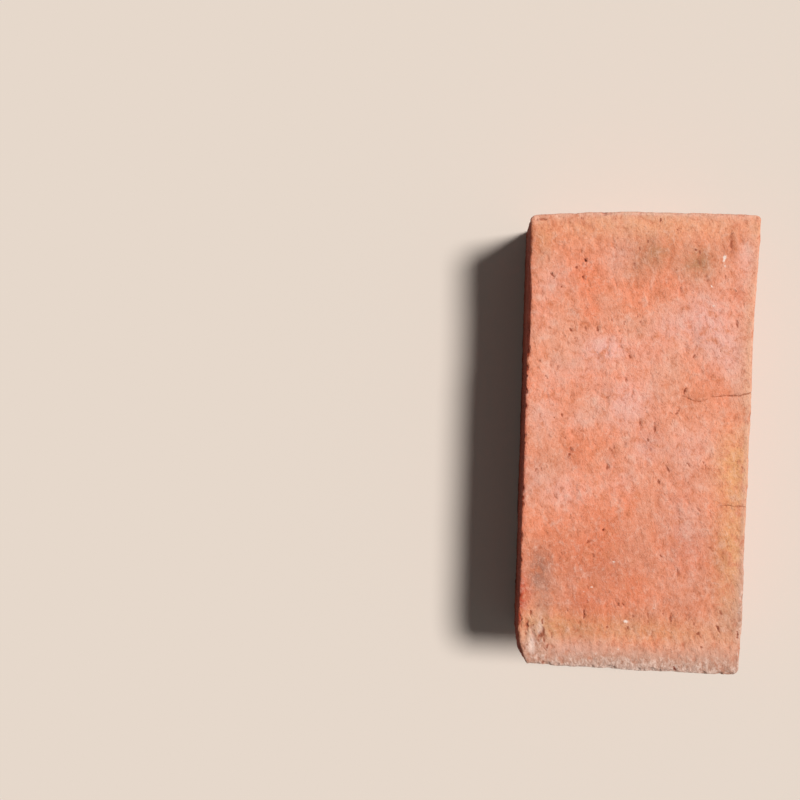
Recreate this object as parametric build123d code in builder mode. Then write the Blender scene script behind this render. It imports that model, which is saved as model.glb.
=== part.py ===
from build123d import *

import os

# A solid clay brick, moulded and fired in one piece, lying on its lower bed face.
# Millimetres, +Z up. The origin is the middle of the lower bed face. The length runs along Y
# and the width along X, and the upper bed face is the one that the photograph shows.

# Overall size
LENGTH = 220.0  # end to end, along Y
WIDTH = 106.0  # long side to long side, along X
HEIGHT = 60.0  # bed face to bed face, along Z

# Upright corners, each rounded by its own wear. Far is the +Y end, and left is the -X side.
FAR_LEFT_CORNER = 3.0
FAR_RIGHT_CORNER = 3.0
NEAR_LEFT_CORNER = 3.0
NEAR_RIGHT_CORNER = 3.0

# The upper end of the near left corner is worn off by a slanting flat
WORN_ACROSS = 4.8  # what it takes off the near end, at the upper bed face
WORN_ALONG = 12.0  # what it takes off the left side, at the upper bed face
WORN_DOWN = 25.0  # how far it reaches down the upright corner

# Level arrises, round all four sides of each bed face
UPPER_ARRIS = 1.6
LOWER_ARRIS = 1.4

# A long thin flake has come off the left arris of the upper bed face. It stops at a sharp step.
FLAKE_START = 13.0  # from the far end to where it sets in
FLAKE_DEEPENS = 27.0  # the length over which it gets to its full depth
FLAKE_RUNS = 27.0  # the length that has the full depth
FLAKE_INWARDS = 1.3  # its width on the bed face
FLAKE_DOWN = 7.0  # its height on the left side
CUT_CLEAR = 4.0  # how far a cutting shape stands out of the block

left_face = -WIDTH / 2
near_face = -LENGTH / 2

# The plane of the worn corner, through its ends on the two upper arrises and on the upright corner
worn_near = Vector(left_face + WORN_ACROSS, near_face, HEIGHT)
worn_left = Vector(left_face, near_face + WORN_ALONG, HEIGHT)
worn_foot = Vector(left_face, near_face, HEIGHT - WORN_DOWN)
worn_outward = (worn_left - worn_near).cross(worn_foot - worn_near)
worn_plane = Plane(worn_near, x_dir=worn_left - worn_near, z_dir=worn_outward)

# The flake's slope as seen along the brick, drawn past the block at both ends, and the step
# outwards that takes the slope to the sharp corner of the block
slope_up = Vector(FLAKE_INWARDS, FLAKE_DOWN)
slope_out = Vector(-FLAKE_DOWN, FLAKE_INWARDS).normalized()
slope_top = Vector(left_face + FLAKE_INWARDS, HEIGHT) + slope_up.normalized() * CUT_CLEAR
slope_foot = Vector(left_face, HEIGHT - FLAKE_DOWN) - slope_up.normalized() * CUT_CLEAR
slope_off = slope_out * (FLAKE_INWARDS * FLAKE_DOWN / slope_up.length)
flake_far = LENGTH / 2 - FLAKE_START
flake_full = flake_far - FLAKE_DEEPENS

with BuildPart() as brick:
    # One solid block. Its plan is a rectangle, and each upright edge then gets its own wear.
    with BuildSketch(Plane.XY):
        Rectangle(WIDTH, LENGTH)
    extrude(amount=HEIGHT)

    left, right = brick.edges().filter_by(Axis.Z).group_by(Axis.X)
    near_left, far_left = left.sort_by(Axis.Y)
    near_right, far_right = right.sort_by(Axis.Y)
    fillet(far_left, FAR_LEFT_CORNER)
    fillet(far_right, FAR_RIGHT_CORNER)
    fillet(near_left, NEAR_LEFT_CORNER)
    fillet(near_right, NEAR_RIGHT_CORNER)

    split(bisect_by=worn_plane, keep=Keep.BOTTOM)

    fillet(brick.faces().sort_by(Axis.Z)[-1].edges(), UPPER_ARRIS)
    fillet(brick.faces().sort_by(Axis.Z)[0].edges(), LOWER_ARRIS)

    # The flake: its full depth first, and then the length over which it fades out
    with BuildSketch(Plane.XZ.offset(-flake_full)):
        with BuildLine():
            outer_foot, outer_top = slope_foot + slope_out * CUT_CLEAR, slope_top + slope_out * CUT_CLEAR
            Polyline(slope_top, slope_foot, outer_foot, outer_top, close=True)
        make_face()
    extrude(amount=FLAKE_RUNS, mode=Mode.SUBTRACT)
    for level, shift in ((flake_full, Vector()), (flake_far, slope_off)):
        with BuildSketch(Plane.XZ.offset(-level)):
            with BuildLine():
                top, foot = slope_top + shift, slope_foot + shift
                Polyline(top, foot, foot + slope_out * CUT_CLEAR, top + slope_out * CUT_CLEAR, close=True)
            make_face()
    loft(ruled=True, mode=Mode.SUBTRACT)

brick.part.label = "brick"

os.makedirs("parts", exist_ok=True)
export_step(brick.part, "parts/brick.step")
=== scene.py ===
"""Dresses a solid clay brick: one fired body with its wear, pores, cracks and stains.

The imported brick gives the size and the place. The dressed brick is one closed net of points over the
same block, worked in whole arrays. Wear, holes and cracks go inwards from the block's faces, while the
skin's highest grains, both ends' bulge and the right side's swelling stand out of them by less than a
millimetre. Lengths are in millimetres here, from the middle of the lower bed face, and become metres as
the mesh is made.
"""

import itertools
import logging
import math
from dataclasses import dataclass
from enum import Enum
from typing import Any

import bpy
import numpy as np
from mathutils import Matrix, Vector


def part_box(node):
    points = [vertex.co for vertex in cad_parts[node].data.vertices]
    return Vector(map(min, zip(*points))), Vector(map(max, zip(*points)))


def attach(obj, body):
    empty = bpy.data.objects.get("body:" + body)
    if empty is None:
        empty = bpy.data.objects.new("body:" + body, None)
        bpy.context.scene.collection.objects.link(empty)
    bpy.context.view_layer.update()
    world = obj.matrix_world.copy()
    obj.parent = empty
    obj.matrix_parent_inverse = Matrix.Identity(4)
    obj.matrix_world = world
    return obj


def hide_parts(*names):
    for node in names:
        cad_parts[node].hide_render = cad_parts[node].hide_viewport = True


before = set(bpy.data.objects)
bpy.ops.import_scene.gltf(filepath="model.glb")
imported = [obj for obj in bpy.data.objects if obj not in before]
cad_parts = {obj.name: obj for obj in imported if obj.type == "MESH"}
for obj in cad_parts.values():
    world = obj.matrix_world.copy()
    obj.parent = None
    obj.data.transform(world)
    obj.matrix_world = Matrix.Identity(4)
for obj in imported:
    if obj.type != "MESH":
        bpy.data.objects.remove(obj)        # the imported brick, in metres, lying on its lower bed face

MM = 0.001  # metres in a millimetre
TINY = 1e-9  # keeps a division clear of nothing

log = logging.getLogger("brick")


def linear(hex_colour: str) -> tuple[float, float, float, float]:
    """Turns an sRGB colour into the linear one that shaders take.

    A share up to 0.04045 is divided by 12.92. A higher one has 0.055 added, is divided by 1.055, and is
    raised to the power of 2.4.

    Args:
        hex_colour: Six hex digits, red first.

    Returns:
        Red, green, blue and an alpha of 1, each from 0 to 1.
    """
    shares = [int(hex_colour[k:k + 2], 16) / 255 for k in (0, 2, 4)]
    red, green, blue = (s / 12.92 if s <= 0.04045 else ((s + 0.055) / 1.055) ** 2.4 for s in shares)
    return red, green, blue, 1.0


def rise(value: np.ndarray, start: float | np.ndarray, over: float) -> np.ndarray:
    """Eases from 0 at a start to 1 a length further on, or back: 3 s squared less 2 s cubed."""
    share = np.clip((value - start) / over, 0, 1)
    return share * share * (3 - 2 * share)


def softened(depth: np.ndarray, soft: float) -> np.ndarray:
    """Rounds off the edge where a depth sets in: s times the log of 1 plus e to the depth over s."""
    return soft * np.logaddexp(0, depth / soft)


def rows(kind: type, *values: tuple[float, ...]) -> tuple:
    """Makes one thing of a kind from each row of its values."""
    return tuple(itertools.starmap(kind, values))


def oval(a: np.ndarray, b: np.ndarray, half_length: float, half_width: float, lean: float) -> np.ndarray:
    """Squared distances from the middle of an oval, along it plus across it, each in its half lengths.

    Args:
        a: Steps from its middle along the first axis.
        b: Steps along the second axis.
        half_length: Half its length.
        half_width: Half its width.
        lean: Degrees from the second axis to its length, towards the first axis's low end.

    Returns:
        The squared distances.
    """
    turn = math.radians(lean)
    along = (b * math.cos(turn) - a * math.sin(turn)) / half_length
    across = (a * math.cos(turn) + b * math.sin(turn)) / half_width
    return along ** 2 + across ** 2


def read(items: bpy.types.bpy_prop_collection, name: str, width: int, kind: type) -> np.ndarray:
    """Reads one value of each item in a list of Blender's into an array.

    Args:
        items: The list.
        name: The value's name.
        width: How many numbers it has.
        kind: What numbers they are.

    Returns:
        The numbers, one item after another.
    """
    values = np.empty(len(items) * width, kind)
    items.foreach_get(name, values)
    return values


def add(
    tree: bpy.types.NodeTree,
    kind: str,
    inputs: dict[str | int, Any] | None = None,
    output: str | None = None,
    **settings: Any,
) -> bpy.types.NodeSocket | None:
    """Adds a node to a tree, with its settings, its values and its links.

    Args:
        tree: The node tree that it goes into.
        kind: The node's type.
        inputs: By socket name or number, a value, or the socket that feeds it.
        output: The name of the socket to return, or None for the first one in use.
        **settings: The node's own options.

    Returns:
        The chosen output socket, or None for a node that has none.
    """
    node = tree.nodes.new(kind)
    for name, value in settings.items():
        setattr(node, name, value)
    for name, value in (inputs or {}).items():
        named = (s for s in node.inputs if s.enabled and s.name == name)
        socket = node.inputs[name] if isinstance(name, int) else next(named)
        if isinstance(value, bpy.types.NodeSocket):
            tree.links.new(value, socket)
        else:
            socket.default_value = value
    return next((s for s in node.outputs if s.enabled and output in (None, s.name)), None)


def emptied(owner: bpy.types.Material | bpy.types.World) -> bpy.types.NodeTree:
    """Turns on the node tree of a material or a world, and empties it."""
    owner.use_nodes = True
    owner.node_tree.nodes.clear()
    return owner.node_tree


def put(name: str, data: bpy.types.ID) -> bpy.types.Object:
    """Makes an object of its data and puts it into the scene."""
    made = bpy.data.objects.new(name, data)
    bpy.context.scene.collection.objects.link(made)
    return made


class ClayNoise:
    """Smooth random waves in space, the same on every run.

    Each whole-number cell corner has a random slope. The value at a point is the eased mix of the eight
    nearest corners' slopes, each taken at the step from its corner to the point.
    """

    TABLE = 256  # slopes before they repeat
    HEIGHT = 1.6  # brings the usual height to about 1
    SHIFT = 17.3  # cells between one layer and the next, so that their corners don't meet

    def __init__(self, seed: int) -> None:
        """Draws the table of slopes.

        Args:
            seed: The random seed, which sets the whole pattern.
        """
        rng = np.random.default_rng(seed)
        self.order = np.tile(rng.permutation(self.TABLE), 2)
        slopes = rng.normal(size=(self.TABLE, 3))
        self.slopes = slopes / np.linalg.norm(slopes, axis=1, keepdims=True)

    def at(self, points: np.ndarray) -> np.ndarray:
        """The wave's height at each point, about -1 to 1.

        A step t from a corner weighs the far corner by 6 t to the fifth, less 15 t to the fourth, plus
        10 t cubed.

        Args:
            points: Places in cells, one row each.

        Returns:
            One height for each row.
        """
        cell = np.floor(points).astype(np.int64)
        step = points - cell
        mix = step ** 3 * (step * (step * 6 - 15) + 10)
        cell &= self.TABLE - 1
        total = np.zeros(len(points))
        for corner in itertools.product((0, 1), repeat=3):
            key = self.order[cell[:, 0] + corner[0]]
            key = self.order[key + (cell[:, 1] + corner[1]) % self.TABLE]
            key = self.order[key + (cell[:, 2] + corner[2]) % self.TABLE]
            weight = np.prod(np.where(corner, mix, 1 - mix), axis=1)
            total += weight * np.einsum("ij,ij->i", step - corner, self.slopes[key])
        return total * self.HEIGHT

    def layered(self, points: np.ndarray, layers: int, fade: float) -> np.ndarray:
        """Waves on waves: each layer is twice as fine as the last, and has its height times the fade."""
        total = sum(fade ** k * self.at(points * 2.0 ** k + self.SHIFT * k) for k in range(layers))
        return total / sum(fade ** k for k in range(layers))


class Side(Enum):
    """A side of the brick: its axis, its end of that axis, and its own two axes.

    The end is 0 for the low one. The cross product of the two axes along the side points out of it.
    """

    LEFT = (0, 0, (2, 1))
    RIGHT = (0, 1, (1, 2))
    NEAR_END = (1, 0, (0, 2))
    FAR_END = (1, 1, (2, 0))
    LOWER_BED = (2, 0, (1, 0))
    UPPER_BED = (2, 1, (0, 1))

    def __init__(self, axis: int, end: int, along: tuple[int, int]) -> None:
        """Keeps the parts of a side's value under their names."""
        self.axis, self.end, self.along = axis, end, along


class Mark(Enum):
    """What the clay body tells its finish at each point: 0 to 1, or up to 2 where it is laid on thickly."""

    HOLLOW = "hollow"  # the shade and dirt inside a pit
    # painted shade along a crack's line
    CRACK_SHADE = "crack"
    CHALK_AND_HIGHLIGHT = "chalk"  # white lime specks, and painted highlights along the far, near and right arrises
    BLOOM = "bloom"  # pinkish salts; its bands along the far and right arrises are painted highlight
    OCHRE = "ochre"  # yellow-brown earth
    DAMP = "damp"  # grey-green film
    SOOT = "soot"  # purple-grey smudge
    FRESH = "fresh"  # broken or rubbed clay, cleaner and redder
    DUST = "dust"  # pale grey-pink dust and old mortar; where thickest, along the near and right arrises, partly painted highlight
    DEEP = "deep"  # harder burnt and unbleached skin, deeper and redder; on the sides partly painted shade, and the left side's extra is painted shade
    WARM = "warm"  # clay that no salts have paled, a cleaner orange
    RAISED_LIGHT_AND_SHADE = "raised"  # 0 in the hollows of the skin's relief, 1 on its tops; its tones are partly the clay's paler grains and darker hollows, and partly painted highlight on the tops and painted shade in the hollows


class Pattern(Enum):
    """The finish's own patterns: size in millimetres, stretch, layers, share kept by each finer layer."""

    MOTTLE = (16.0, 1.0, 4, 0.75)
    CLOUD = (6.0, 1.2, 4, 0.75)
    FLECK = (2.5, 1.4, 3, 0.8)
    STROKE = (1.2, 1.9, 3, 0.7)
    SAND = (0.7, 1.0, 2, 0.8)
    TINT = (18.0, 1.2, 2, 0.6)


class Wave(Enum):
    """The body's random waves: size in millimetres, layers, share kept by each finer one, shift in cells."""

    ARRIS = (14.0, 3, 0.7, 0.0)
    FLAKE = (3.5, 3, 0.6, 9.1)
    CHIP = (1.6, 3, 0.6, 5.7)
    RIM = (0.9, 2, 0.5, 2.2)  # in the outlines of the holes
    SLOW = (45.0, 2, 0.5, 3.3)
    CRUMB = (1.5, 2, 0.7, 1.9)
    CRUMBLY = (26.0, 1, 0.5, 8.5)
    GROUP = (11.0, 1, 0.5, 6.1)  # between groups of pocks
    BURN = (12.0, 3, 0.6, 4.4)  # in how hard the sides are burnt


class Drawn(Enum):
    """Waves drawn out along a side: width and length in millimetres, layers, share kept by a finer one."""

    LUMP = (6.5, 8.5, 2, 0.5)
    GRAIN = (2.7, 4.9, 2, 0.6)
    RIB = (2.0, 7.5, 2, 0.5)
    POCK = (1.4, 3.8, 2, 0.6)


@dataclass
class Net:
    """A closed net of points over a sharp-edged block, one grid to a side, that share their borders."""

    lines: tuple[np.ndarray, np.ndarray, np.ndarray]  # where the net's lines cross X, Y and Z

    def __post_init__(self) -> None:
        """Numbers the points on the block's skin, and lays out each side's grid of numbers.

        The points are all crossings of the three sets of lines that have a first or a last line in them.
        """
        skin = np.zeros([len(a) for a in self.lines], bool)
        for axis in range(3):
            np.moveaxis(skin, axis, 0)[[0, -1]] = True
        number = np.cumsum(skin).reshape(skin.shape) - 1
        self.points = np.stack([a[skin] for a in np.meshgrid(*self.lines, indexing="ij")], axis=1)
        self.sheets = {}
        for side in Side:
            sheet = np.take(number, -side.end, axis=side.axis)
            first, second = side.along
            self.sheets[side] = sheet if first < second else sheet.T

    def quads(self) -> np.ndarray:
        """Four point numbers for each of the net's faces, anticlockwise as seen from outside."""
        return np.concatenate([
            np.stack([s[:-1, :-1], s[1:, :-1], s[1:, 1:], s[:-1, 1:]], axis=-1).reshape(-1, 4)
            for s in self.sheets.values()
        ])


@dataclass(frozen=True)
class Band:
    """A stretch of an axis in which the net's lines stand closer."""

    middle: float
    half: float
    extra: float  # lines added there, as a share of the usual ones


def ruled(low: float, high: float, pitch: float, bands: tuple[Band, ...] = ()) -> np.ndarray:
    """Line positions from low to high that stand a pitch apart, and closer in the given bands.

    The number of lines per millimetre is one over the pitch, times 1 plus a flat-topped bell for each
    band. It is added up along the axis, and the sum is read back at even steps.

    Args:
        low: The first line.
        high: The last line.
        pitch: The distance between lines outside the bands.
        bands: Where the lines stand closer.

    Returns:
        The lines' positions, rising.
    """
    readings = 8001
    fine = np.linspace(low, high, readings)
    dense = np.ones(readings)
    for band in bands:
        dense += band.extra * np.exp(-((fine - band.middle) / band.half) ** 4)
    steps = (dense[1:] + dense[:-1]) / 2 * np.diff(fine) / pitch
    count = np.concatenate([[0], np.cumsum(steps)])
    return np.interp(np.linspace(0, count[-1], math.ceil(count[-1]) + 1), count, fine)


@dataclass(frozen=True)
class Patch:
    """A soft-edged oval of the brick's plan. Its strength falls off as a bell along and across it."""

    x: float = 0.0
    y: float = 0.0
    length: float = math.inf  # half length, where the bell is down to 0.37
    width: float = math.inf  # half width, likewise
    strength: float = 1.0
    lean: float = 0.0  # degrees from Y towards the left

    def at(self, x: np.ndarray, y: np.ndarray, deep: np.ndarray | float = 0.0) -> np.ndarray:
        """The strength at points: e to the minus squared steps along, across and deep, times its own."""
        away = oval(x - self.x, y - self.y, self.length, self.width, self.lean)
        return self.strength * np.exp(-(away + deep ** 2))


@dataclass(frozen=True)
class Hole:
    """A pit or a drag mark in a side: an oval hollow, placed in the side's own two axes."""

    first: float
    second: float
    length: float
    width: float
    depth: float
    lean: float = 15.0  # degrees from the second axis towards the first one's low end


@dataclass(frozen=True)
class Chip:
    """A bite out of an arris: what lies in an oval body round its middle has broken away."""

    middle: tuple[float, float, float]
    outward: tuple[float, float, float]  # the way that the broken face looks
    along: tuple[float, float, float]  # the way of its length
    length: float
    width: float
    depth: float


@dataclass(frozen=True)
class Crack:
    """A hairline that runs over the upper bed and down the right side.

    Its path is Y against the distance over the skin, which is X on the bed, and the half width plus the
    depth below the bed on the side.
    """

    reach: tuple[float, ...]  # distances over the skin, rising
    path: tuple[float, ...]  # Y at each
    opening: tuple[float, ...]  # half width of the groove at each
    depth: float = 0.8


@dataclass(frozen=True)
class Scatter:
    """Random pores and drag marks over one side."""

    side: Side
    per_cm2: float = 0.6
    lean: float = 0.0  # usual lean, in degrees
    longer: float = 1.9  # usual length, in widths


@dataclass(frozen=True)
class Warping:
    """How the sides moved as the clay dried and shrank. A pair is where a move sets in, and its run-in."""

    fullest: float = -5.0  # X of the far end's fullest line
    left_rate: float = 8.0e-4  # its fall to the left of that line, for each square millimetre away
    right_rate: float = 3.3e-4
    crown: tuple[float, float] = (60.0, 50.0)
    right_falls: Patch = Patch(y=49.0, length=25.0, strength=-0.9)
    right_swells: Patch = Patch(y=-80.0, length=26.0, strength=0.5)
    right: tuple[float, float] = (15.0, 38.0)
    bulge: float = 0.6  # how far both ends stand out
    ends: tuple[float, float] = (90.0, 20.0)


@dataclass(frozen=True)
class WornCorner:
    """The slanting flat that wear has left at the upper end of the near left corner."""

    across: float = 4.6
    along: float = 11.5
    down: float = 25.0
    soft: float = 0.6  # rounding where it runs out


@dataclass(frozen=True)
class Flake:
    """The long flake that is off the left arris of the upper bed."""

    start: float = 97.0  # Y where it sets in
    full: float = 70.0  # Y where it has its whole depth
    end: float = 43.1  # Y of the middle of its step
    step: float = 0.6  # length of the step
    inwards: float = 1.3  # over the bed
    ragged: float = 0.4
    down: float = 7.0  # down the side
    least: float = 1e-6  # its reach where there is none, which keeps divisions clear of nothing
    room: tuple[float, float] = (4.0, 9.0)  # it keeps within this of the side and of the bed
    bared: float = 0.5  # how fresh its clay looks
    bared_at: float = 0.4  # the depth that bares it whole


@dataclass(frozen=True)
class Skin:
    """The relief of the pressed and fired skin, in millimetres."""

    slow: float = 0.34
    lumps: float = 0.42
    grains: float = 0.33
    ribs: float = 0.6  # only about the near left corner
    crumbs: float = 0.14
    pocks: float = 0.38
    proud: float = 0.3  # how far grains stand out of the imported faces, but for the lower bed
    soft: float = 0.06  # rounding of the levelled tops
    corner: Patch = Patch(-47, -97, 16, 10)
    corner_lumps: float = 0.6  # share by which lumps are higher there
    crumbly: float = 0.95  # how crumbly the skin is where none of these lies
    patches: tuple[Patch, ...] = (
        Patch(-47, -97, 16, 10, 0.8),
        Patch(y=-98, length=15, strength=0.7),
        Patch(-46, 78, 24, 12, 0.3),
        Patch(-8, 90, 12, 15, 0.4),
        Patch(0, 18, 38, 45, -0.26),
    )
    uneven: float = 0.25  # share by which a slow wave changes that
    pock_level: float = 0.36  # the height over which a drawn-out wave is a pock
    pock_groups: float = 0.3  # how far a slower wave moves the level
    pock_more: float = 0.1  # how far crumbly skin lowers it
    pock_edge: float = 0.35  # the wave's rise from a pock's edge to its floor
    pock_shade: float = 0.3
    middle_tone: float = 0.5  # the mark of the relief at no depth
    tone: float = 0.9  # what a millimetre of height adds to it
    lump_tone: float = 0.4  # share of the lumps in that height
    seat: float = 6.0  # percentage of the lower bed that touches the ground
    lift: float = 0.25  # share of that level by which the other sides are raised


@dataclass(frozen=True)
class Layer:
    """A tone laid over the ones before it, as far as a mark or a pattern says."""

    tone: str
    by: Mark | Pattern
    start: float = 0.0  # the value at which the tone sets in
    full: float = 1.0  # the value at which it is at its most
    most: float = 1.0
    torn: Pattern | None = None  # the pattern that breaks up the tone's edge


@dataclass(frozen=True)
class FiredClay:
    """Common brick clay, pressed in a mould and fired to about 1000 degrees.

    Iron in the clay gives the orange red. Sand and burnt-out scraps leave a dry, grainy, matt skin full
    of small pores. Salts leave a pinkish bloom, damp leaves grey green, and lime gives white specks. The
    tones also paint highlights along the arrises, and shade in pits, cracks and relief hollows and on the
    sides.
    """

    TEAR = {"From Min": 0.3, "From Max": 0.7, "To Min": 0.4, "To Max": 1.6}  # a pattern to shares of a mark

    body: str = "f09b79"
    roughness: float = 0.92  # a dry, open skin scatters light almost evenly
    ior: float = 1.55
    specular: float = 0.3  # where 0.5 is a closed surface: open pores swallow part of it
    lean: float = 15.0  # degrees that the drag marks lean
    bent: float = 0.3  # how far each pattern bends itself, so that no grain is round
    apart: float = 3.7  # cells between the patterns' places, so that they don't line up
    grit: tuple[tuple[Pattern, float], ...] = (  # heights in millimetres, too fine for the net
        (Pattern.FLECK, 0.5),
        (Pattern.STROKE, 0.12),
        (Pattern.SAND, 0.22),
    )

    layers: tuple[Layer, ...] = (
        Layer("fc9068", Pattern.TINT, 0.5, 0.68, 0.45),
        Layer("d8a68e", Pattern.TINT, 0.5, 0.32, 0.4),
        Layer("f6b195", Pattern.MOTTLE, 0.5, 0.72, 0.6),
        Layer("de8460", Pattern.MOTTLE, 0.5, 0.3, 0.6),
        Layer("c25c34", Mark.DEEP, torn=Pattern.CLOUD),
        Layer("f1703c", Mark.WARM, torn=Pattern.CLOUD),
        Layer("f3b2a2", Mark.BLOOM, torn=Pattern.CLOUD),
        Layer("f0aa70", Mark.OCHRE, torn=Pattern.CLOUD),
        Layer("b27850", Mark.DAMP, torn=Pattern.CLOUD),
        Layer("93604f", Mark.SOOT, torn=Pattern.CLOUD),
        Layer("c8482a", Mark.FRESH, torn=Pattern.CLOUD),
        Layer("cd9f88", Mark.DUST, 0.0, 1.2),
        Layer("e8c2ae", Mark.DUST, 0.9, 1.5, 0.8, Pattern.FLECK),
        Layer("f1bba4", Pattern.CLOUD, 0.53, 0.7, 0.55),
        Layer("cf7349", Pattern.CLOUD, 0.47, 0.3, 0.6),
        # paler relief tops: partly the clay's grains, partly painted highlight
        Layer("f8bda2", Mark.RAISED_LIGHT_AND_SHADE, 0.55, 0.95, 0.4),
        # darker relief hollows: partly the clay's own tone, partly painted shade
        Layer("b25c38", Mark.RAISED_LIGHT_AND_SHADE, 0.45, 0.08, 0.58),
        # In these five, the darker tones fall where the bump's grit is lowest: partly the clay's own grain,
        # partly painted shade in the grit's hollows.
        Layer("f6bba2", Pattern.FLECK, 0.53, 0.72, 0.36),
        Layer("b85f3a", Pattern.FLECK, 0.46, 0.27, 0.52),
        Layer("a85030", Pattern.STROKE, 0.4, 0.24, 0.38),
        Layer("f7c8b0", Pattern.SAND, 0.58, 0.78, 0.3),
        Layer("b06445", Pattern.SAND, 0.42, 0.24, 0.3),
        Layer("c29a88", Mark.DUST, 0.2, 1.3, 0.45),
        # this and the next: painted highlight along the near arris, over thick pale dust
        Layer("f3d0be", Mark.DUST, 1.15, 1.8, 0.8),
        Layer("efd2c2", Mark.DUST, 0.95, 1.6, 0.45, Pattern.FLECK),
        Layer("93583e", Mark.DUST, 0.95, 1.7, 0.5, Pattern.STROKE),
        # the sides' deeper tone, partly painted shade
        Layer("9a3a22", Mark.DEEP, 0.5, 1.0, 0.8),
        # painted shade on the left side, where its extra takes the deeper tone over 1
        Layer("6a2413", Mark.DEEP, 1.0, 1.4, 0.9),
        Layer("97462a", Mark.HOLLOW, 0.1, 0.6, 0.8, Pattern.FLECK),
        Layer("5c2a1a", Mark.HOLLOW, 0.7, 1.05, 0.85, Pattern.FLECK),
        # painted shade down the cracks
        Layer("96502f", Mark.CRACK_SHADE, 0.1, 0.8, 0.75, Pattern.SAND),
        Layer("fbe4d6", Mark.CHALK_AND_HIGHLIGHT, 0.25, 0.8, 0.9),
    )

    def patterns(self, tree: bpy.types.NodeTree) -> dict[Mark | Pattern, bpy.types.NodeSocket]:
        """Adds the marks' and the patterns' own nodes.

        Args:
            tree: The material's tree.

        Returns:
            The value of each mark and each pattern.
        """
        place = add(tree, "ShaderNodeTexCoord", output="Object")
        lean = -math.radians(self.lean)
        turned = add(tree, "ShaderNodeMapping", {"Vector": place, "Rotation": (0, 0, lean)})
        values = {m: add(tree, "ShaderNodeAttribute", output="Fac", attribute_name=m.value) for m in Mark}
        for pattern in Pattern:
            size, stretch, layers, kept = pattern.value
            cell = (size, size * stretch, size)
            shift = self.apart * len(values)
            scale = [1 / (c * MM) for c in cell]
            moved = {"Vector": turned, "Scale": scale, "Location": (shift, shift, 0)}
            drawn = add(tree, "ShaderNodeMapping", moved)
            grain = {"Scale": 1, "Detail": layers - 1, "Roughness": kept, "Distortion": self.bent}
            values[pattern] = add(tree, "ShaderNodeTexNoise", {"Vector": drawn, **grain})
        return values

    def material(self) -> bpy.types.Material:
        """Makes the material, which reads Object coordinates and the body's own marks.

        Returns:
            The finished material.
        """
        made = bpy.data.materials.new("fired_brick_clay")
        tree = emptied(made)
        values = self.patterns(tree)
        colour = linear(self.body)
        for layer in self.layers:
            value = values[layer.by]
            if layer.torn:
                tear = add(tree, "ShaderNodeMapRange", {"Value": values[layer.torn], **self.TEAR})
                value = add(tree, "ShaderNodeMath", {0: value, 1: tear}, operation="MULTIPLY")
            reach = {"Value": value, "From Min": layer.start, "From Max": layer.full, "To Max": layer.most}
            tones = {"Factor": add(tree, "ShaderNodeMapRange", reach), "A": colour, "B": linear(layer.tone)}
            colour = add(tree, "ShaderNodeMix", tones, data_type="RGBA")
        height = 0.0
        for pattern, rises in self.grit:
            parts = {0: values[pattern], 1: rises, 2: height}
            height = add(tree, "ShaderNodeMath", parts, operation="MULTIPLY_ADD")
        bump = add(tree, "ShaderNodeBump", {"Height": height, "Distance": MM, "Strength": 1.0})
        shader = add(tree, "ShaderNodeBsdfPrincipled", {
            "Base Color": colour,
            "Roughness": self.roughness,
            "IOR": self.ior,
            "Specular IOR Level": self.specular,
            "Normal": bump,
        })
        add(tree, "ShaderNodeOutputMaterial", {"Surface": shader})
        return made


@dataclass(frozen=True)
class Chart:
    """Where a side lies on the flat map: its low corner, and its scale, across and up."""

    side: Side
    corner: tuple[float, float]
    scale: tuple[float, float]  # shares of the map for a millimetre
    across: int  # the brick's axis that runs across the map
    up: int


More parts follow.
